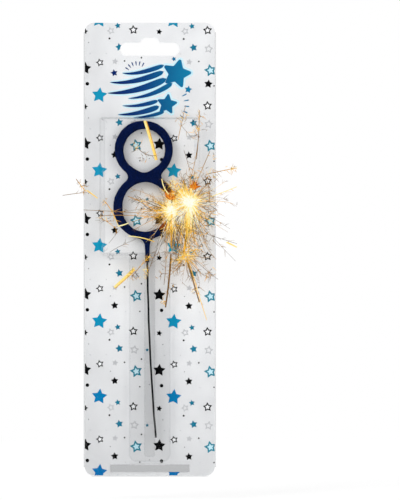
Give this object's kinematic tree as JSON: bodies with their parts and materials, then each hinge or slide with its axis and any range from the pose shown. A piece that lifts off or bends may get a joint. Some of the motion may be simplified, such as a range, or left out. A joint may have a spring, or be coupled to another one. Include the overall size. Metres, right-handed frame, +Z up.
{
  "type": "carded number sparkler",
  "caption": "Number-shaped cake sparkler on a wire stick, inside a clear formed hanging pack with a sliding printed card.",
  "frame": {"origin": "centre of the hang slot's bar, in the plane of the card's front face", "axes": "+X to the right across the pack, seen from its front; +Y from the front to the back; +Z up the pack"},
  "size_m": [0.0736, 0.0097, 0.2525],
  "materials": {
    "white_card": "satin",
    "clear_plastic": "gloss",
    "navy_coating": "matte",
    "dark_steel_wire": "satin"
  },
  "bodies": {
    "cover": {"clear_cover": "clear_plastic"},
    "card": {"backing_card": "white_card"},
    "sparkler": {"sparkler_wire": "dark_steel_wire", "sparkler_coating": "navy_coating"}
  },
  "joints": [
    {"name": "card_slide", "type": "slide", "parent": "cover", "child": "card", "axis": [0, 0, 1], "range_m": [0, 0.2525]},
    {"name": "sparkler_slide", "type": "slide", "parent": "cover", "child": "sparkler", "axis": [0, 0, 1], "range_m": [-0.005, 0.0008]}
  ]
}
